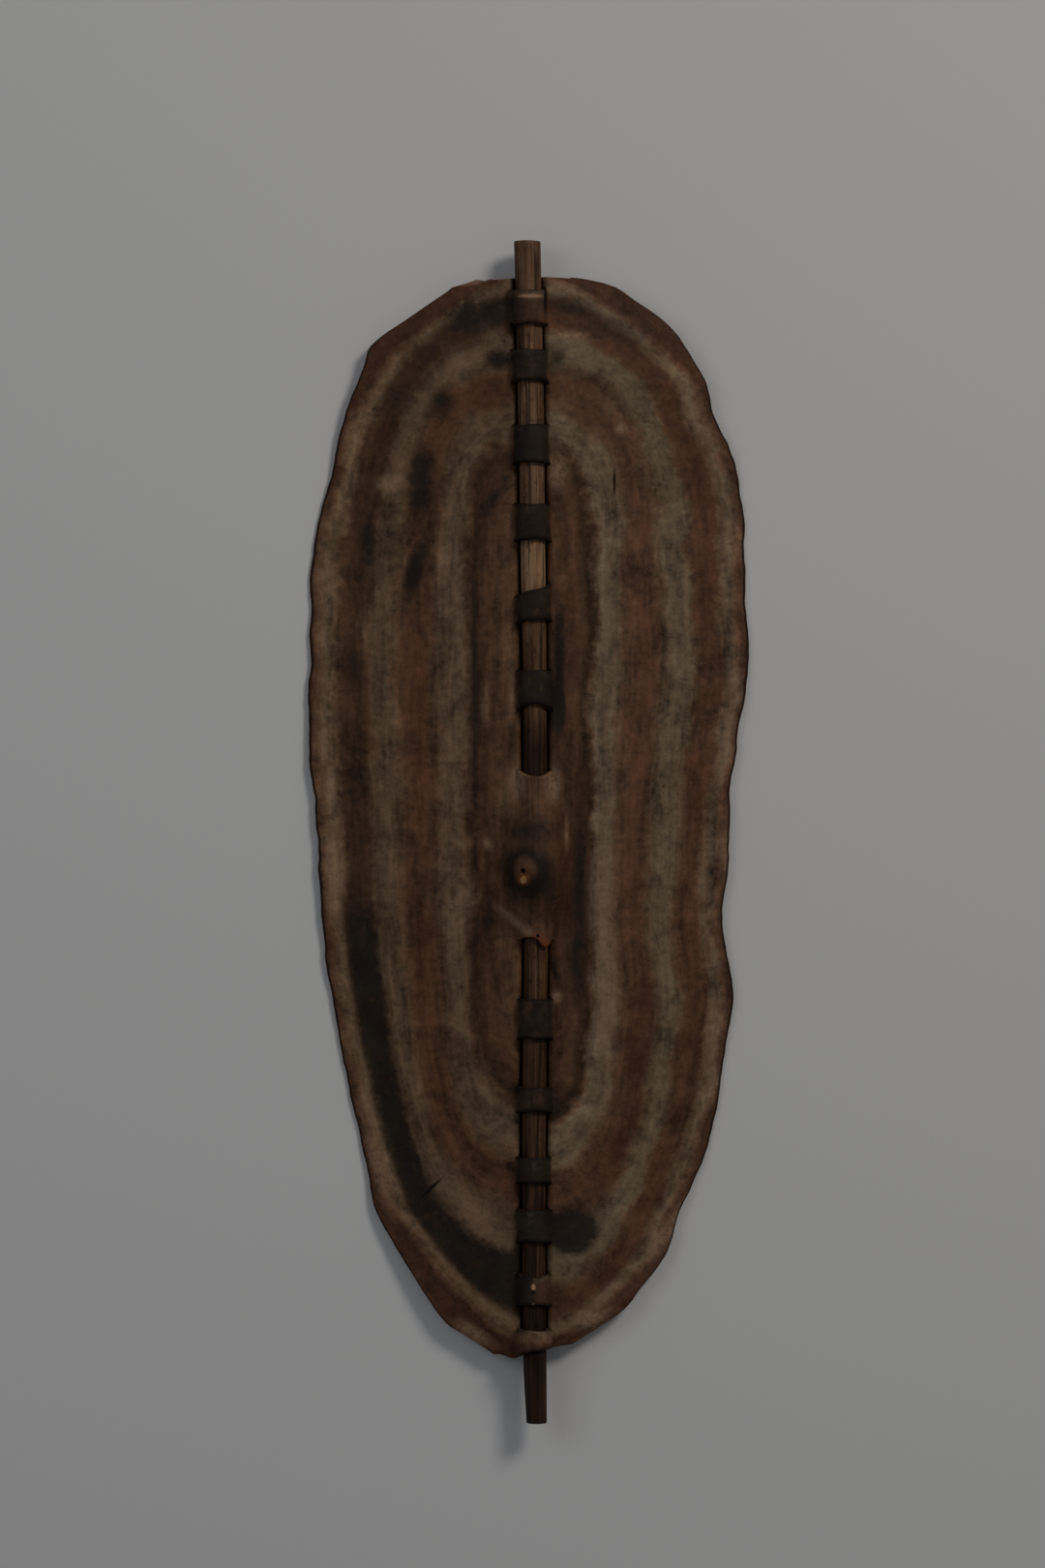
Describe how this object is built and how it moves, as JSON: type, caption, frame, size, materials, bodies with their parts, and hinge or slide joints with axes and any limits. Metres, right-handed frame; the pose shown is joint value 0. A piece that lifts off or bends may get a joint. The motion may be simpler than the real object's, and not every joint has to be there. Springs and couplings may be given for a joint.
{
  "type": "hide shield",
  "caption": "Long oval hide shield threaded on a central wooden stick, with a hollow boss that covers the hand gripping the stick behind it.",
  "frame": {"origin": "on the floor under the middle of the shield as it lies on its back", "axes": "+Z out of the shield's front, +Y along the stick to its upper end, +X to the right seen from the front"},
  "size_m": [0.4419, 1.18, 0.0807],
  "materials": {
    "rawhide": "matte, worn, stained in concentric bands",
    "wood": "hand-cut, handled smooth, dark reddish brown"
  },
  "bodies": {
    "root": {"hide_upper": "rawhide", "hide_middle": "rawhide", "hide_lower": "rawhide", "stick": "wood"}
  },
  "joints": []
}
